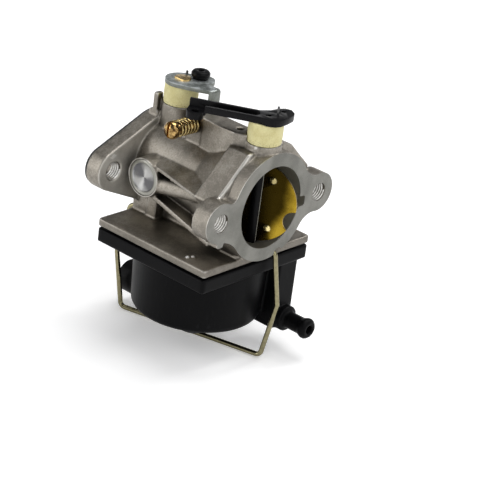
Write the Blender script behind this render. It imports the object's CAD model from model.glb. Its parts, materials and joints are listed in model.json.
import json
import math

import bmesh
import bpy
from mathutils import Matrix, Vector


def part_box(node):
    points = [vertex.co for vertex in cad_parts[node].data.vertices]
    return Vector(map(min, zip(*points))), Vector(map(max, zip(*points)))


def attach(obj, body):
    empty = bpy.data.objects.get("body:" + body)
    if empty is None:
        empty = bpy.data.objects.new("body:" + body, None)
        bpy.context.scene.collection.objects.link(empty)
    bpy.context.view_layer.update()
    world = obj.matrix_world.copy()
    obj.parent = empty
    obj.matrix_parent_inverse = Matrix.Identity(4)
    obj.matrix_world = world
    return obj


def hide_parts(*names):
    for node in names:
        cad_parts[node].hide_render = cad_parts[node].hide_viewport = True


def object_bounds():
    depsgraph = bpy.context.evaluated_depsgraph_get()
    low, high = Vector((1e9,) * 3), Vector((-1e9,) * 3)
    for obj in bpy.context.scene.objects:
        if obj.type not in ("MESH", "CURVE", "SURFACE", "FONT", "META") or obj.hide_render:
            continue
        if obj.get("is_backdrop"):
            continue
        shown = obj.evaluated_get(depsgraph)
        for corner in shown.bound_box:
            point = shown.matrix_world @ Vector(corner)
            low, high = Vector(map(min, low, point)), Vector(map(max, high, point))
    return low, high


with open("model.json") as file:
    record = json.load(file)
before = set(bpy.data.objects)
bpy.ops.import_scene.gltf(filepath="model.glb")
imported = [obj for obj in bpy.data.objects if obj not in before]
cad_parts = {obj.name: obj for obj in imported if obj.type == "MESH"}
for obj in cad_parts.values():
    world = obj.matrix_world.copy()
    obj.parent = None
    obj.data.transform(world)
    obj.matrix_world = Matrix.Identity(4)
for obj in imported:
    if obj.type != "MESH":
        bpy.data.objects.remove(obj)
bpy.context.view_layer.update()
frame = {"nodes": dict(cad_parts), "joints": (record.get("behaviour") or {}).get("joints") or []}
scene = bpy.context.scene
mm = 0.001

# Middle of the base plate's top, from which the pieces are measured
plateTop = Vector((0, -31.1, -18.9)) * mm
flangeThickness = 6.5 * mm
bodyLow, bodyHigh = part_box("carburetor_body")
frontFace = bodyLow.y                     # machined face of the air flange
earFace = bodyHigh.y - flangeThickness    # front of the engine flange
joints = {joint["name"]: joint for joint in frame["joints"]}
chokeAxis = Vector(joints["choke_turn"]["pos_m"])
screwAxis = Vector(joints["idle_screw_turn"]["pos_m"])
chokeTurn = math.radians(-66)             # where the choke plate points at rest
weld = 0.001 * mm                         # points closer than this are merged
print("frame loaded, nodes:", len(frame["nodes"]))


# A socket, with shader maths as plain expressions
class Wire:
    def __init__(self, finish, socket):
        self.finish = finish
        self.socket = socket

    def __add__(self, other):
        return self.finish.math("ADD", self, other)

    def __radd__(self, other):
        return self.finish.math("ADD", other, self)

    def __sub__(self, other):
        return self.finish.math("SUBTRACT", self, other)

    def __rsub__(self, other):
        return self.finish.math("SUBTRACT", other, self)

    def __mul__(self, other):
        return self.finish.math("MULTIPLY", self, other)

    def __rmul__(self, other):
        return self.finish.math("MULTIPLY", other, self)

    def __truediv__(self, other):
        return self.finish.math("DIVIDE", self, other)

    def __pow__(self, other):
        return self.finish.math("POWER", self, other)

    def __lt__(self, other):
        return self.finish.math("LESS_THAN", self, other)

    def __gt__(self, other):
        return self.finish.math("GREATER_THAN", self, other)


# One material, or the world, with the few node recipes that the finishes share
class Finish:
    def __init__(self, name, constants, store=bpy.data.materials, shader="Principled BSDF",
                 place="Object"):
        self.owner = store.new(name)
        self.owner.use_nodes = True
        self.tree = self.owner.node_tree
        self.shader = self.tree.nodes[shader]
        self.feed(self.shader, constants)
        self.place = self.add("TexCoord", output=place)

    def feed(self, node, inputs):
        for key, value in inputs.items():
            if isinstance(value, Wire):
                self.tree.links.new(value.socket, node.inputs[key])
            else:
                node.inputs[key].default_value = value

    def add(self, kind, settings=None, inputs=None, output=0):
        node = self.tree.nodes.new("ShaderNode" + kind)
        for key, value in (settings or {}).items():
            if key == "stops":
                for element, (position, shade) in zip(node.color_ramp.elements, value):
                    element.position = position
                    element.color = (*shade, 1)
            else:
                setattr(node, key, value)
        self.feed(node, inputs or {})
        return Wire(self, node.outputs[output])

    def math(self, operation, *values):
        return self.add("Math", {"operation": operation}, dict(enumerate(values)))

    def noise(self, size, detail, place=None):
        inputs = {"Vector": place or self.place, "Scale": 1 / size, "Detail": detail}
        return self.add("TexNoise", None, inputs)

    def stretch(self, scale):
        return self.add("Mapping", None, {"Vector": self.place, "Scale": scale})

    def axis(self, letter):
        return self.add("SeparateXYZ", None, {0: self.place}, "XYZ".index(letter))

    def bend(self):
        return self.add("NewGeometry", output="Pointiness")

    def ramp(self, value, low, high):
        inputs = {"Value": value, "From Min": low, "From Max": high}
        return self.add("MapRange", {"interpolation_type": "SMOOTHSTEP"}, inputs)

    def mix(self, factor, first, second):
        colours = [colour if isinstance(colour, Wire) else (*colour, 1) for colour in (first, second)]
        return self.add("Mix", {"data_type": "RGBA"}, {0: factor, 6: colours[0], 7: colours[1]}, 2)

    def bump(self, height, depth, strength):
        return self.add("Bump", None, {"Height": height, "Distance": depth, "Strength": strength})


# How sharply a surface bends where its edges start to look worn, and where they are fully worn
wornEdge = (0.52, 0.6)


# Cast skin with a machined air flange, a darkened bore and a linished engine flange
def castAluminium():
    look = {
        "light": (0.41, 0.378, 0.328), "dark": (0.25, 0.229, 0.196), "rough": 0.46,
        "machined": (0.275, 0.271, 0.247), "machinedDark": (0.18, 0.178, 0.16), "machinedRough": 0.4,
        "linished": (0.6, 0.575, 0.52), "edge": (0.8, 0.78, 0.73), "hollow": (0.11, 0.1, 0.085),
        "grime": (0.05, 0.045, 0.037), "bore": (0.22, 0.21, 0.165),
        "grain": 0.6 * mm, "skin": 2.2 * mm, "cloud": 16 * mm, "pit": 1.1 * mm, "crevice": 6 * mm,
        "toolLine": 0.35 * mm, "toolPatch": 7 * mm, "toolStretch": (1, 1, 12), "relief": 0.08 * mm,
        "edgeBend": (0.52, 0.58), "hollowBend": (0.49, 0.43), "pitted": (0.64, 0.74),
        "mottled": (0.4, 0.6), "toolMarked": (0.34, 0.66), "shutIn": (0.85, 0.3),
        "boreRadius": 15.7 * mm, "boreDepth": 18 * mm, "throttleRadius": 12.7 * mm,
        "notchRadius": 19.6 * mm, "notchDepth": 5.5 * mm, "boreStart": (0.05 * mm, 0.6 * mm),
        "rimDepth": (0.45 * mm, 0.05 * mm), "residue": (-7 * mm, -13 * mm),
        "plateEdge": (-0.25 * mm, -0.6 * mm), "faceGap": 0.02 * mm, "earGap": 0.3 * mm, "earFacing": -0.7,
        "slope": 29.35 * mm, "slopeGap": (2 * mm, 1.2 * mm),
        "burrPlace": 5.5 * mm, "burrBottom": 5.5 * mm, "burrWidth": (0.75 * mm, 0.35 * mm),
    }
    finish = Finish("castAluminium", {})
    across, along, height = finish.axis("X"), finish.axis("Y"), finish.axis("Z")
    cloud = finish.noise(look["cloud"], 2)
    skin = finish.noise(look["skin"], 3)
    grain = finish.noise(look["grain"], 3)

    # The machined face, and the bore with its notches behind it
    onFace = finish.math("COMPARE", along, frontFace, look["faceGap"])
    depth = along - frontFace
    radius = (across * across + height * height) ** 0.5
    choked = (radius < look["boreRadius"]) * (depth < look["boreDepth"])
    notch = (radius < look["notchRadius"]) * (depth < look["notchDepth"])
    inBore = finish.math("MAXIMUM", finish.math("MAXIMUM", choked, radius < look["throttleRadius"]), notch)
    inBore = inBore * finish.ramp(depth, *look["boreStart"])

    # The cast skin, dark in its hollows, pits and corners
    bend = finish.bend()
    rim = finish.ramp(depth, *look["rimDepth"]) * 0.8
    edge = finish.math("MAXIMUM", finish.ramp(bend, *look["edgeBend"]), rim) * (1 - onFace)
    hollow = finish.ramp(bend, *look["hollowBend"])
    pit = finish.ramp(finish.noise(look["pit"], 1), *look["pitted"]) * (1 - onFace * 0.5)
    shade = finish.ramp(cloud * 0.45 + skin * 0.25 + grain * 0.3, *look["mottled"])
    colour = finish.mix(shade, look["dark"], look["light"])
    colour = finish.mix(hollow * 0.75, colour, look["hollow"])
    colour = finish.mix(pit * 0.3, colour, look["hollow"])
    clear = finish.add("AmbientOcclusion", {"samples": 8}, {"Distance": look["crevice"]}, "AO")
    colour = finish.mix(finish.ramp(clear, *look["shutIn"]) * (1 - inBore) * 0.75, colour, look["grime"])
    plateSide = finish.ramp(height - plateTop.z, *look["plateEdge"])
    colour = finish.mix(plateSide * 0.55, colour, look["hollow"])

    # Tool marks on the air flange and on the front of the engine flange
    lines = finish.noise(look["toolLine"], 2, finish.stretch(look["toolStretch"]))
    facing = finish.ramp(finish.noise(look["toolPatch"], 4) * 0.7 + lines * 0.3, *look["toolMarked"])
    colour = finish.mix(onFace, colour, finish.mix(facing, look["machinedDark"], look["machined"]))
    normal = finish.add("TexCoord", output="Normal")
    forward = finish.add("SeparateXYZ", None, {0: normal}, "Y") < look["earFacing"]
    onEars = finish.math("COMPARE", along, earFace, look["earGap"]) * forward
    colour = finish.mix(onEars * (0.35 + facing * 0.5), colour, look["linished"])

    # Worn edges, a bright burr down the housing's sloping side, and fuel residue low in the bore
    offSlope = finish.math("ABSOLUTE", height - across - look["slope"])
    sloping = finish.ramp(offSlope, *look["slopeGap"]) * (height > look["burrBottom"])
    offBurr = finish.math("ABSOLUTE", depth - look["burrPlace"])
    burr = finish.ramp(offBurr, *look["burrWidth"]) * sloping * (0.6 + grain * 0.4)
    colour = finish.mix(edge * 0.7, colour, look["edge"])
    colour = finish.mix(burr, colour, look["edge"])
    colour = finish.mix(inBore * 0.85, colour, look["bore"])
    colour = finish.mix(inBore * finish.ramp(height, *look["residue"]) * 0.7, colour, look["grime"])

    rough = look["rough"] + (skin - 0.5) * 0.12 + (grain - 0.5) * 0.12 - edge * 0.1
    rough = rough + onFace * (look["machinedRough"] - look["rough"])
    relief = (skin * 0.35 + grain * 0.4) * (1 - onFace) + (lines * 0.2 + grain * 0.12) * onFace
    finish.feed(finish.shader, {"Base Color": colour, "Roughness": rough,
                                "Metallic": 1 - inBore * 0.85 - onEars * 0.4,
                                "Normal": finish.bump(relief, look["relief"], 0.8)})
    return finish.owner


# Turned disc in the YZ plane, with bright and dark wedges inside a plain rim
def turnedDisc(name, centre):
    look = {"light": (0.62, 0.62, 0.61), "dark": (0.19, 0.19, 0.2), "rim": (0.4, 0.395, 0.35),
            "groove": 0.22 * mm, "grooveDepth": 0.02 * mm, "discRadius": 5.3 * mm, "rimBlend": 0.15 * mm,
            "wobble": 3 * mm, "patch": 2.4 * mm, "fine": 0.3 * mm, "mottled": (0.25, 0.75),
            "wedgeTurn": 2.0, "rough": 0.3}
    finish = Finish(name, {"Metallic": 1.0})
    first = finish.axis("Y") - centre.y
    second = finish.axis("Z") - centre.z
    radius = (first * first + second * second) ** 0.5
    wobble = finish.noise(look["wobble"], 2)
    ring = finish.math("SINE", (radius / look["groove"] + wobble * 0.8) * math.tau)
    patch = finish.noise(look["patch"], 3)
    fine = finish.noise(look["fine"], 2)
    around = finish.math("ARCTAN2", second, first)
    bent = around * 2 + (wobble - 0.5) * 1.6 + look["wedgeTurn"]
    wedge = finish.math("COSINE", bent) * 0.5 + 0.5
    shade = finish.ramp(wedge * 0.6 + patch * 0.25 + fine * 0.15, *look["mottled"])
    colour = finish.mix(shade, look["dark"], look["light"])
    rim = finish.ramp(radius, look["discRadius"], look["discRadius"] + look["rimBlend"])
    colour = finish.mix(rim * (0.75 + patch * 0.25), colour, look["rim"])
    rough = look["rough"] + (patch - 0.5) * 0.12 + rim * 0.08
    finish.feed(finish.shader, {"Base Color": colour, "Roughness": rough,
                                "Normal": finish.bump(ring, look["grooveDepth"], 0.7)})
    return finish.owner


# How dark and light patches of a metal meet
metalMottle = (0.36, 0.64)


# Metal with patches of two tones and brighter edges, its patch size and relief in mm
def plainMetal(name, light, dark, rough, patchSize, relief):
    finish = Finish(name, {"Metallic": 1.0})
    patch = finish.noise(patchSize * mm, 4)
    fine = finish.noise(patchSize * mm * 0.2, 3)
    edge = finish.ramp(finish.bend(), *wornEdge)
    colour = finish.mix(finish.ramp(patch * 0.7 + fine * 0.3, *metalMottle), dark, light)
    colour = finish.mix(edge * 0.4, colour, tuple(min(1, part * 1.25) for part in light))
    finish.feed(finish.shader, {"Base Color": colour, "Roughness": rough + (patch - 0.5) * 0.2,
                                "Normal": finish.bump(patch * 0.5 + fine * 0.5, relief * mm, 0.6)})
    return finish.owner


# Plated sheet: pale on its flat top, duller down its edges and the bent tab
def zincSheet(top):
    look = {"bright": (0.56, 0.6, 0.6), "dull": (0.2, 0.22, 0.205), "side": (0.16, 0.17, 0.145),
            "rough": 0.36, "patch": 2.6 * mm, "fine": 0.35 * mm, "relief": 0.03 * mm,
            "topEdge": (-0.4 * mm, -0.1 * mm)}
    finish = Finish("zincSheet", {"Metallic": 0.65})
    patch = finish.noise(look["patch"], 4)
    fine = finish.noise(look["fine"], 3)
    colour = finish.mix(finish.ramp(patch * 0.7 + fine * 0.3, *metalMottle), look["dull"], look["bright"])
    onTop = finish.ramp(finish.axis("Z") - top, *look["topEdge"])
    colour = finish.mix((1 - onTop) * 0.8, colour, look["side"])
    finish.feed(finish.shader, {"Base Color": colour, "Roughness": look["rough"] + (patch - 0.5) * 0.2,
                                "Normal": finish.bump(patch * 0.5 + fine * 0.5, look["relief"], 0.6)})
    return finish.owner


# Brass plate, stained towards its shaft, with two bright pressed pips
def stainedBrass(turn):
    look = {"clean": (0.46, 0.31, 0.03), "worn": (0.36, 0.235, 0.02), "stain": (0.017, 0.011, 0.0015),
            "pip": (0.9, 0.76, 0.36), "pipReach": 5.4 * mm, "pipMiddle": -0.2 * mm, "pipSpread": 9.2 * mm,
            "pipEdge": (1.5 * mm, 1.1 * mm), "stainFade": (15.5 * mm, 9.4 * mm), "stainWander": 2 * mm,
            "stainLow": -0.55, "mottled": (0.35, 0.65), "rough": 0.28, "relief": 0.012 * mm,
            "patch": 4 * mm, "fine": 0.6 * mm}
    finish = Finish("stainedBrass", {"Metallic": 1.0})
    fromX, fromY = finish.axis("X") - chokeAxis.x, finish.axis("Y") - chokeAxis.y
    reach = fromX * math.cos(turn) + fromY * math.sin(turn)
    height = finish.axis("Z")
    patch = finish.noise(look["patch"], 3)
    fine = finish.noise(look["fine"], 3)
    low = finish.math("MAXIMUM", height * look["stainLow"], 0.0)
    stain = finish.ramp(reach + low + (patch - 0.5) * look["stainWander"], *look["stainFade"])
    shade = finish.ramp(patch * 0.6 + fine * 0.4, *look["mottled"])
    colour = finish.mix(shade, look["worn"], look["clean"])
    colour = finish.mix(stain * 0.97, colour, look["stain"])
    above = finish.math("ABSOLUTE", height - look["pipMiddle"]) - look["pipSpread"]
    aside = reach - look["pipReach"]
    pip = finish.ramp((above * above + aside * aside) ** 0.5, *look["pipEdge"])
    colour = finish.mix(pip * (1 - (height > 0.0) * 0.5), colour, look["pip"])   # the upper one is duller
    rough = look["rough"] + (fine - 0.5) * 0.12 - pip * 0.1
    finish.feed(finish.shader, {"Base Color": colour, "Roughness": rough,
                                "Normal": finish.bump(patch * 0.5 + fine * 0.5, look["relief"], 0.5)})
    return finish.owner


# Moulded plastic or rubber, paler along its flow, edges and upright scuffs
def moulded(name, base, rough, gloss):
    look = {"flow": 9 * mm, "flowing": (0.3, 0.7), "fine": 0.32 * mm, "relief": 0.04 * mm,
            "scuff": 1.1 * mm, "scuffStretch": (1, 1, 0.25), "scuffed": (0.58, 0.72)}
    finish = Finish(name, {"Metallic": 0.0, "Specular IOR Level": gloss})
    flow = finish.noise(look["flow"], 3)
    fine = finish.noise(look["fine"], 2)
    rubbed = finish.noise(look["scuff"], 5, finish.stretch(look["scuffStretch"]))
    scuff = finish.ramp(rubbed, *look["scuffed"])
    edge = finish.ramp(finish.bend(), *wornEdge)
    paler = tuple(part * 1.5 for part in base)
    palest = tuple(part * 2.6 + 0.004 for part in base)
    colour = finish.mix(finish.ramp(flow, *look["flowing"]) * 0.5, base, paler)
    colour = finish.mix(edge * 0.5 + scuff * 0.25, colour, palest)
    rough = rough + (flow - 0.5) * 0.14 + (fine - 0.5) * 0.08 - edge * 0.06
    finish.feed(finish.shader, {"Base Color": colour, "Roughness": rough,
                                "Normal": finish.bump(fine * 0.6 + flow * 0.4, look["relief"], 0.5)})
    return finish.owner


# Choke shaft: black, with a bare bright edge where its plate comes out
def shaftBlack(turn):
    look = {"base": (0.0025, 0.0025, 0.003), "bare": (0.3, 0.29, 0.25), "edge": -0.75 * mm,
            "width": 0.22 * mm, "wear": 2 * mm, "worn": (0.3, 0.5), "fine": 0.5 * mm, "relief": 0.02 * mm}
    finish = Finish("shaftBlack", {"Metallic": 0.0, "Roughness": 0.4, "Specular IOR Level": 0.1})
    fromX, fromY = finish.axis("X") - chokeAxis.x, finish.axis("Y") - chokeAxis.y
    reach = fromX * math.cos(turn) + fromY * math.sin(turn)
    aside = fromY * math.cos(turn) - fromX * math.sin(turn)
    away = finish.math("ABSOLUTE", aside - look["edge"])
    wear = finish.ramp(finish.noise(look["wear"], 2), *look["worn"])
    line = finish.ramp(away, look["width"], look["width"] * 0.4) * (reach > 0.0) * (0.5 + wear * 0.5)
    finish.feed(finish.shader, {"Base Color": finish.mix(line, look["base"], look["bare"]),
                                "Normal": finish.bump(finish.noise(look["fine"], 2), look["relief"], 0.4)})
    return finish.owner


# Felt, with dark specks that gather towards its foot
def creamFelt(name, bottom):
    look = {"pale": (0.84, 0.78, 0.42), "deep": (0.72, 0.65, 0.31), "dirt": (0.30, 0.26, 0.13),
            "cell": 0.42 * mm, "fibre": 0.5 * mm, "fibreStretch": (1, 1, 0.7), "cloud": 3.2 * mm,
            "mottled": (0.32, 0.68), "specked": (0.54, 0.66), "foot": 2.2 * mm, "relief": 0.16 * mm}
    finish = Finish(name, {"Metallic": 0.0, "Roughness": 0.95, "Specular IOR Level": 0.15,
                           "Sheen Weight": 0.25, "Sheen Roughness": 0.5})
    cell = finish.noise(look["cell"], 4)
    fibre = finish.noise(look["fibre"], 3, finish.stretch(look["fibreStretch"]))
    cloud = finish.noise(look["cloud"], 3)
    shade = finish.ramp(cloud * 0.6 + fibre * 0.4, *look["mottled"])
    colour = finish.mix(shade, look["deep"], look["pale"])
    low = finish.ramp(finish.axis("Z") - bottom, look["foot"], 0.0)
    speck = finish.ramp(cell, *look["specked"]) * (0.12 + low * 0.8)
    colour = finish.mix(speck, colour, look["dirt"])
    finish.feed(finish.shader, {"Base Color": colour,
                                "Normal": finish.bump(cell * 0.6 + fibre * 0.4, look["relief"], 0.8)})
    return finish.owner


# Pressed fibre sheet with pale flecks
def gasketFibre():
    look = {"dark": (0.035, 0.035, 0.034), "light": (0.075, 0.075, 0.072), "pale": (0.16, 0.16, 0.15),
            "fibre": 0.5 * mm, "fibreStretch": (1, 1, 3), "fibrous": (0.35, 0.65),
            "fleck": 0.3 * mm, "flecked": (0.62, 0.72), "relief": 0.05 * mm}
    finish = Finish("gasketFibre", {"Metallic": 0.0, "Roughness": 0.85, "Specular IOR Level": 0.3})
    fibre = finish.noise(look["fibre"], 4, finish.stretch(look["fibreStretch"]))
    fleck = finish.ramp(finish.noise(look["fleck"], 2), *look["flecked"])
    colour = finish.mix(finish.ramp(fibre, *look["fibrous"]), look["dark"], look["light"])
    colour = finish.mix(fleck * 0.5, colour, look["pale"])
    finish.feed(finish.shader, {"Base Color": colour, "Normal": finish.bump(fibre, look["relief"], 0.6)})
    return finish.owner


# Plain metals: name, light, dark, roughness, patch size and relief in mm
metals = {
    "bailWire": ("yellowZincWire", (0.33, 0.3, 0.18), (0.24, 0.215, 0.125), 0.18, 1.4, 0.015),
    "brassSheet": ("brassSheet", (0.60, 0.40, 0.04), (0.44, 0.28, 0.02), 0.2, 4, 0.01),
    "brassTurned": ("brassTurned", (0.72, 0.53, 0.24), (0.55, 0.38, 0.15), 0.26, 1.2, 0.015),
    "goldScrew": ("goldScrew", (0.66, 0.44, 0.17), (0.07, 0.03, 0.01), 0.08, 1.6, 0.02),
    "springWire": ("springWire", (0.62, 0.48, 0.22), (0.07, 0.05, 0.016), 0.1, 1.2, 0.006),
    "thread": ("cutThread", (0.64, 0.63, 0.6), (0.3, 0.29, 0.27), 0.3, 0.8, 0.02),
    "speck": ("brightSpeck", (0.95, 0.95, 0.93), (0.75, 0.75, 0.74), 0.3, 0.5, 0.02),
    "steel": ("turnedSteel", (0.6, 0.6, 0.58), (0.45, 0.45, 0.44), 0.3, 1, 0.01),
    "darkSteel": ("oiledWire", (0.16, 0.16, 0.16), (0.08, 0.08, 0.08), 0.35, 1, 0.01),
}

# Moulded plastics and rubbers: name, colour, roughness, gloss
mouldings = {
    "bowl": ("mouldedBowl", (0.003, 0.003, 0.0034), 0.4, 0.075),
    "lever": ("mouldedLever", (0.0032, 0.0031, 0.0036), 0.3, 0.13),
    "rubber": ("mouldedRubber", (0.008, 0.008, 0.008), 0.6, 0.15),
    "redRubber": ("mouldedRedRubber", (0.20, 0.025, 0.015), 0.55, 0.3),
}

plugLow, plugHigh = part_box("welch_plug")
plugCentre = (plugLow + plugHigh) / 2
finishes = {key: plainMetal(*metal) for key, metal in metals.items()}
finishes.update({key: moulded(*moulding) for key, moulding in mouldings.items()})
finishes.update({
    "cast": castAluminium(),
    "plug": turnedDisc("turnedAluminium", plugCentre),
    "gasket": gasketFibre(),
    "zinc": zincSheet(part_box("throttle_lever")[1].z),
    "chokeBrass": stainedBrass(chokeTurn),
    "chokeShaft": shaftBlack(chokeTurn),
    "throttleFelt": creamFelt("throttleFelt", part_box("throttle_seal")[0].z),
    "chokeFelt": creamFelt("chokeFelt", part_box("choke_seal")[0].z),
})
print("finishes made:", len(finishes))


# Shared ways to make a piece

flatAngle, sharpEdge = math.radians(1.2), math.radians(28)   # faces joined as one flat, edges rounded


def addObject(name, data):
    added = bpy.data.objects.new(name, data)
    scene.collection.objects.link(added)
    return added


def meshFrom(name, shape):
    mesh = bpy.data.meshes.new(name)
    shape.to_mesh(mesh)
    shape.free()
    return mesh


# The mesh that an object's modifiers, or its curve, come to
def finalMesh(draft):
    return bpy.data.meshes.new_from_object(draft.evaluated_get(bpy.context.evaluated_depsgraph_get()))


def newPiece(name, shape, finish, sharpAngle=32):
    if isinstance(shape, bmesh.types.BMesh):
        mesh = meshFrom(name, shape)
    else:
        mesh = shape
        mesh.name = name
    piece = addObject(name, mesh)
    mesh.materials.clear()
    mesh.materials.append(finishes[finish])
    mesh.polygons.foreach_set("use_smooth", [True] * len(mesh.polygons))
    mesh.set_sharp_from_angle(angle=math.radians(sharpAngle))
    return piece


def install(piece, node, body):
    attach(piece, body)
    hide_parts(node)


def nodeCopy(node):
    shape = bmesh.new()
    shape.from_mesh(frame["nodes"][node].data)
    bmesh.ops.remove_doubles(shape, verts=shape.verts, dist=2 * weld)
    return shape


# A copy of a CAD node with the triangles of each flat face joined
def flatCopy(node):
    shape = nodeCopy(node)
    bmesh.ops.dissolve_limit(shape, angle_limit=flatAngle, verts=shape.verts, edges=shape.edges)
    return shape


def roundEdges(shape, width):
    sharp = [edge for edge in shape.edges if edge.is_manifold and edge.calc_face_angle(0) > sharpEdge]
    bmesh.ops.bevel(shape, geom=sharp, offset=width, affect="EDGES", segments=2, profile=0.5,
                    material=-1, clamp_overlap=True)
    return shape


# A CAD node as one soft cast or moulded skin
def castSkin(name, shape, settings):
    mesh = meshFrom(name + "Rough", shape)
    rough = addObject(name + "Rough", mesh)
    remesh = rough.modifiers.new("remesh", "REMESH")
    remesh.mode = "VOXEL"
    remesh.voxel_size = settings["voxel"]
    smooth = rough.modifiers.new("smooth", "SMOOTH")
    smooth.factor = 0.5
    smooth.iterations = settings["smoothing"]
    thin = rough.modifiers.new("thin", "DECIMATE")
    thin.ratio = settings["keep"]
    skin = finalMesh(rough)
    bpy.data.objects.remove(rough)
    bpy.data.meshes.remove(mesh)
    print(name, "skin faces:", len(skin.polygons))
    return skin


# A round profile in (radius, height), spun about z and then laid along its axis
def spunPiece(name, profile, place, finish, steps=64, axis="Z", sharpAngle=32):
    shape = bmesh.new()
    verts = [shape.verts.new((radius, 0, height)) for radius, height in profile]
    edges = [shape.edges.new(pair) for pair in zip(verts, verts[1:])]
    bmesh.ops.spin(shape, geom=verts + edges, cent=(0, 0, 0), axis=(0, 0, 1), angle=math.tau,
                   steps=steps, use_merge=True)
    bmesh.ops.remove_doubles(shape, verts=shape.verts, dist=weld)
    bmesh.ops.recalc_face_normals(shape, faces=shape.faces)
    turns = {"Z": Matrix.Identity(4), "X": Matrix.Rotation(math.pi / 2, 4, "Y")}
    bmesh.ops.transform(shape, matrix=Matrix.Translation(place) @ turns[axis], verts=shape.verts)
    return newPiece(name, shape, finish, sharpAngle)


# Points along a path with each corner turned into an arc
def roundedPath(corners, bend, steps=7):
    path = [corners[0]]
    for before, corner, after in zip(corners, corners[1:], corners[2:]):
        inward, outward = (before - corner).normalized(), (after - corner).normalized()
        half = inward.angle(outward) / 2
        reach = bend / math.tan(half)
        middle = corner + (inward + outward).normalized() * (bend / math.sin(half))
        start, end = corner + inward * reach - middle, corner + outward * reach - middle
        path += [middle + start.normalized().slerp(end.normalized(), step / steps) * bend
                 for step in range(steps + 1)]
    return path + [corners[-1]]


# A round wire along a path, as a mesh
def wirePiece(name, path, radius, finish, roundness):
    curve = bpy.data.curves.new(name, "CURVE")
    curve.dimensions = "3D"
    curve.bevel_depth = radius
    curve.bevel_resolution = roundness
    curve.use_fill_caps = True
    spline = curve.splines.new("POLY")
    spline.points.add(len(path) - 1)
    for point, place in zip(spline.points, path):
        point.co = (*place, 1)
    draft = addObject(name + "Draft", curve)
    mesh = finalMesh(draft)
    bpy.data.objects.remove(draft)
    shape = bmesh.new()
    shape.from_mesh(mesh)
    bmesh.ops.remove_doubles(shape, verts=shape.verts, dist=weld)
    bmesh.ops.recalc_face_normals(shape, faces=shape.faces)
    return newPiece(name, shape, finish, sharpAngle=50)


# Body: a soft cast skin, cut flat at the machined air flange
castBody = {"voxel": 0.4 * mm, "smoothing": 5, "keep": 0.5, "allowance": 0.8 * mm, "faceGap": 0.01 * mm}


def makeBody(settings):
    shape = nodeCopy("carburetor_body")
    for vert in shape.verts:
        if abs(vert.co.y - frontFace) < settings["faceGap"]:
            vert.co.y -= settings["allowance"]   # stock that the cut takes off again
    skin = castSkin("castBody", shape, settings)
    shape = bmesh.new()
    shape.from_mesh(skin)
    cut = bmesh.ops.bisect_plane(shape, geom=shape.verts[:] + shape.edges[:] + shape.faces[:],
                                 dist=weld, plane_co=(0, frontFace, 0), plane_no=(0, -1, 0),
                                 clear_outer=True)
    rim = [item for item in cut["geom_cut"] if isinstance(item, bmesh.types.BMEdge)]
    bmesh.ops.triangle_fill(shape, use_beauty=True, edges=rim, normal=(0, -1, 0))
    body = newPiece("castBody", shape, "cast", sharpAngle=60)
    bpy.data.meshes.remove(skin)
    return body


install(makeBody(castBody), "carburetor_body", "base")

# Bowl: a soft moulded skin
mouldedBowl = {"voxel": 0.45 * mm, "smoothing": 4, "keep": 0.4}
bowlSkin = castSkin("floatBowl", nodeCopy("float_bowl"), mouldedBowl)
install(newPiece("floatBowl", bowlSkin, "bowl", sharpAngle=60), "float_bowl", "base")
print("body and bowl made")

# Bail: one wire with bent corners, hooked into the body at both ends; half of it is (reach, height) in mm
bail = {"turn": -75.5, "middle": (-0.6, 0.8), "radius": 0.95 * mm, "roundness": 5, "bend": 2.2 * mm,
        "half": [(23.9, -0.6), (30.3, -0.6), (34, -21), (30, -42.82)]}


def makeBail(settings):
    turn = math.radians(settings["turn"])
    along = Vector((math.cos(turn), math.sin(turn), 0))
    middle = plateTop + Vector((*settings["middle"], 0)) * mm
    halves = [(-reach, height) for reach, height in settings["half"]]
    halves += [(reach, height) for reach, height in reversed(settings["half"])]
    corners = [middle + (along * reach + Vector((0, 0, height))) * mm for reach, height in halves]
    path = roundedPath(corners, settings["bend"])
    return wirePiece("bailWire", path, settings["radius"], "bailWire", settings["roundness"])


install(makeBail(bail), "bowl_bail", "bail")

# Seals: felt collars that swell a little round the middle
seal = {"radius": 6.3 * mm, "bores": {"throttle_seal": 3.45 * mm, "choke_seal": 2.4 * mm},
        "lip": 0.5 * mm, "lipCurve": [(1, 0), (0.35, 0.2), (0.15, 1)], "swell": 0.12 * mm, "rings": 6}


def makeSeal(name, node, finish, settings):
    low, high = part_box(node)
    radius, bore, lip = settings["radius"], settings["bores"][node], settings["lip"]
    tall = high.z - low.z
    bottom = [(radius - lip * inward, lip * rise) for inward, rise in settings["lipCurve"]]
    top = [(across, tall - rise) for across, rise in reversed(bottom)]
    wall = []
    for step in range(1, settings["rings"]):
        part = step / settings["rings"]
        wall.append((radius - settings["swell"] * (2 * part - 1) ** 2, lip + (tall - 2 * lip) * part))
    profile = [(bore, 0)] + bottom + wall + top + [(bore, tall), (bore, 0)]
    place = Vector(((low.x + high.x) / 2, (low.y + high.y) / 2, low.z))
    return spunPiece(name, profile, place, finish)


for side in ("throttle", "choke"):
    sealNode = side + "_seal"
    install(makeSeal(side + "Seal", sealNode, side + "Felt", seal), sealNode, "base")
print("bail and seals made")

# Threads in the four bolt holes: where each run starts along y, and its length
boltThreads = {"spread": 26 * mm, "outer": 3.62 * mm, "inner": 3.22 * mm, "pitch": 0.95 * mm, "steps": 28,
               "runs": [(frontFace + 0.3 * mm, 6.6 * mm), (-7.3 * mm, 6.0 * mm)]}


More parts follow.
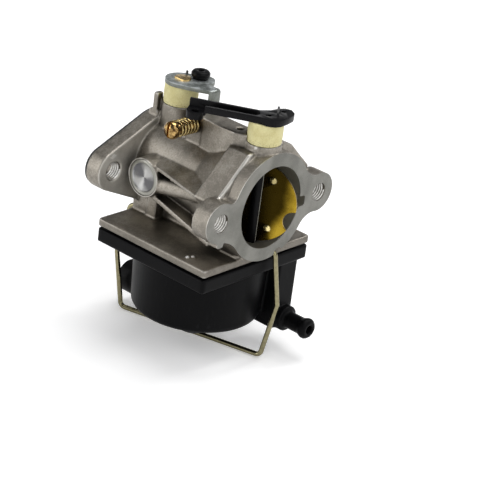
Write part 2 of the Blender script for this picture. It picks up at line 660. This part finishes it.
def makeThreads(settings):
    shape = bmesh.new()
    outer, inner, pitch, steps = (settings[key] for key in ("outer", "inner", "pitch", "steps"))
    cross = [(outer, 0), (inner, pitch * 0.4), (inner, pitch * 0.5), (outer, pitch * 0.9)]
    for start, length in settings["runs"]:
        turns = int(length / pitch) - 1
        for middle in (-settings["spread"], settings["spread"]):
            ridge = [shape.verts.new((middle + radius, start + along, 0)) for radius, along in cross]
            bmesh.ops.spin(shape, geom=[shape.faces.new(ridge)], cent=(middle, 0, 0), axis=(0, 1, 0),
                           angle=math.tau * turns, steps=steps * turns, dvec=(0, pitch / steps, 0))
    bmesh.ops.recalc_face_normals(shape, faces=shape.faces)
    return newPiece("boltThreads", shape, "thread", sharpAngle=30)


threads = makeThreads(boltThreads)
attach(threads, "base")

# Welch plug: a shallow dish inside a raised round rim, facing left, its profile (radius, depth) in mm
welchPlug = {"steps": 72, "sharpAngle": 40,
             "profile": [(0, 0.62), (2.6, 0.56), (4.9, 0.46), (5.2, 0.36), (5.35, 0.12), (5.6, 0.01),
                         (5.95, 0), (6.35, 0.04), (6.62, 0.14), (6.72, 0.32), (6.72, 1.3), (0, 1.3)]}


def makePlug(settings):
    profile = [(radius * mm, depth * mm) for radius, depth in settings["profile"]]
    place = (plugLow.x, plugCentre.y, plugCentre.z)
    return spunPiece("welchPlug", profile, place, "plug", settings["steps"], "X", settings["sharpAngle"])


install(makePlug(welchPlug), "welch_plug", "base")

# Ends of the two return springs, standing up out of the levers
springEnds = {"bodies": {"throttle_spring_end": "throttle", "choke_spring_end": "choke"}, "steps": 20}
for node, body in springEnds["bodies"].items():
    low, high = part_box(node)
    radius, tall = (high.x - low.x) / 2, high.z - low.z
    tip = [(radius, tall - radius), (radius * 0.7, tall - radius * 0.3), (0, tall)]
    profile = [(0, 0), (radius, 0)] + tip
    place = ((low.x + high.x) / 2, (low.y + high.y) / 2, low.z)
    springEnd = spunPiece(body + "SpringEnd", profile, place, "darkSteel", springEnds["steps"])
    install(springEnd, node, body)

# Throttle lever: sheet metal with a tab bent down at its end
throttleLever = {"edge": 0.16 * mm, "bend": 1.2 * mm, "cornerGap": 0.02 * mm}


def makeLever(settings):
    shape = flatCopy("throttle_lever")
    low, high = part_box("throttle_lever")
    gap = settings["cornerGap"]
    bend = [edge for edge in shape.edges
            if all(vert.co.y - low.y < gap and high.z - vert.co.z < gap for vert in edge.verts)]
    bmesh.ops.bevel(shape, geom=bend, offset=settings["bend"], affect="EDGES", segments=6, profile=0.5,
                    material=-1)
    return newPiece("throttleLever", roundEdges(shape, settings["edge"]), "zinc", sharpAngle=30)


install(makeLever(throttleLever), "throttle_lever", "throttle")

# Two bright cast specks on the plate, placed in mm from plateTop
castSpecks = {"radius": 0.98 * mm, "places": [(-24.8, -15.2, -0.25), (-22.9, -16, -0.35)]}


def makeSpecks(settings):
    shape = bmesh.new()
    for place in settings["places"]:
        bmesh.ops.create_icosphere(shape, subdivisions=3, radius=settings["radius"],
                                   matrix=Matrix.Translation(plateTop + Vector(place) * mm))
    return newPiece("plateSpecks", shape, "speck")


plateSpecks = makeSpecks(castSpecks)
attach(plateSpecks, "base")

# Pieces that are their CAD nodes with rounded edges: body, finish, slot, edge width
roundedPieces = {
    "throttle_shaft": ("throttle", "brassTurned", "brass", 0.15 * mm),
    "throttle_plate": ("throttle", "brassSheet", "brass", 0.1 * mm),
    "throttle_plate_screw": ("throttle", "steel", "steel", 0.2 * mm),
    "throttle_link_bushing": ("throttle", "lever", "black_nylon", 0.2 * mm),
    "choke_shaft": ("choke", "chokeShaft", "black_nylon", 0.15 * mm),
    "choke_plate": ("choke", "chokeBrass", "brass", 0.12 * mm),
    "choke_lever": ("choke", "lever", "black_nylon", 0.3 * mm),
    "jet_plug": ("base", "brassTurned", "brass", 0.2 * mm),
}
for node, (body, finish, slotName, width) in roundedPieces.items():
    words = node.split("_")
    name = words[0] + "".join(word.capitalize() for word in words[1:])
    piece = newPiece(name, roundEdges(flatCopy(node), width), finish, sharpAngle=30)
    install(piece, node, body)

# Mounting gasket: its outline stays a little inside the flange's
mountingGasket = {"edge": 0.12 * mm, "inset": 0.5 * mm, "spread": 26 * mm, "holeReach": 4.5 * mm,
                  "boreReach": 15 * mm}


def makeGasket(settings):
    shape = roundEdges(flatCopy("mounting_gasket"), settings["edge"])
    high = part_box("mounting_gasket")[1]
    for vert in shape.verts:
        place = Vector((vert.co.x, vert.co.z))
        fromHole = Vector((abs(place.x) - settings["spread"], place.y)).length
        if fromHole > settings["holeReach"] and place.length > settings["boreReach"]:
            vert.co.x *= 1 - settings["inset"] / high.x
            vert.co.z *= 1 - settings["inset"] / high.z
    return newPiece("mountingGasket", shape, "gasket", sharpAngle=30)


install(makeGasket(mountingGasket), "mounting_gasket", "base")

# Idle screw: a domed, slotted head on a plain shank, its profile (distance along it, radius) in mm
idleScrew = {"slot": 1.0 * mm, "slotDepth": 1.4 * mm, "slotLength": 12 * mm, "steps": 48, "sharpAngle": 40,
             "profile": [(-20.6, 0), (-20.55, 0.9), (-20.35, 1.8), (-19.95, 2.6), (-19.3, 3.1),
                         (-18.5, 3.3), (-17.6, 3.3), (-17.3, 3.2), (-17.2, 3.0), (-17.2, 2), (-1.6, 2),
                         (-1.35, 1.9), (-0.4, 1.2), (-0.4, 0)]}


def makeScrew(settings):
    profile = [(radius * mm, along * mm) for along, radius in settings["profile"]]
    screw = spunPiece("idleSpeedScrew", profile, screwAxis, "goldScrew", settings["steps"], "X",
                      settings["sharpAngle"])
    head = screwAxis + Vector((settings["profile"][0][0] * mm, 0, 0))
    slotSize = (settings["slotDepth"] * 2, settings["slot"], settings["slotLength"])
    shape = bmesh.new()
    bmesh.ops.create_cube(shape, size=1)
    bmesh.ops.scale(shape, vec=slotSize, verts=shape.verts)
    bmesh.ops.translate(shape, vec=head, verts=shape.verts)
    cutter = newPiece("slotCutter", shape, "goldScrew")
    cut = screw.modifiers.new("slot", "BOOLEAN")
    cut.operation = "DIFFERENCE"
    cut.object = cutter
    slotted = finalMesh(screw)
    bpy.data.objects.remove(screw)
    bpy.data.objects.remove(cutter)
    return newPiece("idleSpeedScrew", slotted, "goldScrew", settings["sharpAngle"])


install(makeScrew(idleScrew), "idle_speed_screw", "idle_screw")

# Spring on the idle screw
idleSpring = {"start": -17.0 * mm, "end": -6.75 * mm, "radius": 2.75 * mm, "wire": 0.45 * mm,
              "roundness": 3, "turns": 6, "stepsPerTurn": 24, "phase": math.radians(-40)}


def makeSpring(settings):
    radius, wire = settings["radius"], settings["wire"]
    start, end = settings["start"] + wire, settings["end"] - wire
    total = settings["turns"] * settings["stepsPerTurn"]
    path = []
    for step in range(total + 1):
        turn = math.tau * step / settings["stepsPerTurn"] + settings["phase"]
        along = start + (end - start) * (step / total)
        path.append(screwAxis + Vector((along, radius * math.cos(turn), radius * math.sin(turn))))
    return wirePiece("idleScrewSpring", path, wire, "springWire", settings["roundness"])


install(makeSpring(idleSpring), "idle_screw_spring", "base")

# CAD nodes that keep their shape, with the finish of each
keptNodes = {
    "bowl_gasket": "rubber",
    "float": "bowl", "float_pin": "steel", "inlet_seat": "redRubber", "inlet_needle": "steel",
    "main_nozzle": "brassTurned", "main_jet": "brassTurned", "jet_plug_ring": "rubber",
}
for node, finish in keptNodes.items():
    slots = frame["nodes"][node].data.materials
    slots.clear()
    slots.append(finishes[finish])
print("levers, screw, spring and inner pieces made")


# Stage, light and camera

studio = {"floorSize": 30.0, "floorGap": 0.3 * mm, "floorColour": (0.97, 0.97, 0.97, 1), "floorRough": 0.9,
          "lift": 0.3, "glossLift": 0.1, "sky": [(0.1, (0.92, 0.92, 0.92)), (0.26, (0.13, 0.13, 0.135))]}


def makeFloor(settings):
    shape = bmesh.new()
    bmesh.ops.create_grid(shape, x_segments=1, y_segments=1, size=settings["floorSize"])
    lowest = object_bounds()[0].z - settings["floorGap"]
    bmesh.ops.translate(shape, vec=(0, 0, lowest), verts=shape.verts)
    floor = addObject("floor", meshFrom("floor", shape))
    paint = {"Base Color": settings["floorColour"], "Roughness": settings["floorRough"],
             "Specular IOR Level": 0.0, "Emission Strength": 1.0}
    finish = Finish("floorPaint", paint)
    lift = (finish.add("LightPath", output="Is Camera Ray") * settings["lift"]
            + finish.add("LightPath", output="Is Glossy Ray") * settings["glossLift"])
    finish.feed(finish.shader, {"Emission Color": finish.mix(lift, (0, 0, 0), (1, 1, 1))})
    floor.data.materials.append(finish.owner)
    floor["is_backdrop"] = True


# A world that is pale near the horizon and dim above
def makeSky(settings):
    finish = Finish("studio", {}, bpy.data.worlds, "Background", "Generated")
    fade = finish.add("ValToRGB", {"stops": settings["sky"]}, {0: finish.axis("Z")})
    finish.feed(finish.shader, {"Color": fade})
    scene.world = finish.owner


makeFloor(studio)
makeSky(studio)

# Each sun: azimuth, elevation, strength, apparent width in degrees
suns = {
    "keySun": (-132, 31, 0.45, 40),
    "lowSun": (-122, 8, 0.35, 26),
    "topSun": (100, 78, 1.3, 40),
    "frontSun": (-10, 38, 0.85, 60),
    "sideSun": (62, 50, 0.35, 50),
    "leftGlint": (-132, 33, 0.1, 8),
    "rightGlint": (80, 46, 0.35, 8),
}


# The way from the object to a lamp or a camera
def direction(azimuth, elevation):
    turn, rise = math.radians(azimuth), math.radians(elevation)
    return Vector((math.sin(turn) * math.cos(rise), -math.cos(turn) * math.cos(rise), math.sin(rise)))


for name, (azimuth, elevation, strength, width) in suns.items():
    lamp = bpy.data.lights.new(name, "SUN")
    lamp.energy = strength
    lamp.angle = math.radians(width)
    sun = addObject(name, lamp)
    sun.rotation_euler = direction(azimuth, elevation).to_track_quat("Z", "Y").to_euler()

# The photo's view, fitted to it: aimPixel is where plateTop is in the picture
photoView = {
    "azimuth": -50.885, "elevation": 24.439, "roll": 7.728, "distance": 730.05 * mm,
    "lens": 144.0, "sensor": 36.0, "clipStart": 0.01, "imageSize": 500.0, "aimPixel": (204.695, 226.377),
}


def makeCamera(view, aim):
    turn, roll = math.radians(view["azimuth"]), math.radians(view["roll"])
    back = direction(view["azimuth"], view["elevation"])
    level = Vector((math.cos(turn), math.sin(turn), 0))
    upright = back.cross(level)
    right = level * math.cos(roll) + upright * math.sin(roll)
    top = upright * math.cos(roll) - level * math.sin(roll)
    pixel = view["distance"] * view["sensor"] / (view["lens"] * view["imageSize"])
    aside = (view["aimPixel"][0] - view["imageSize"] / 2) * pixel
    above = (view["imageSize"] / 2 - view["aimPixel"][1]) * pixel
    lens = bpy.data.cameras.new("photoCamera")
    lens.lens = view["lens"]
    lens.sensor_width = view["sensor"]
    lens.clip_start = view["clipStart"]
    camera = addObject("photoCamera", lens)
    camera.matrix_world = Matrix((right, top, back)).transposed().to_4x4()
    camera.location = aim + back * view["distance"] - right * aside - top * above
    scene.camera = camera


makeCamera(photoView, plateTop)
scene.view_settings.view_transform = "Standard"
print("stage, light and camera made")
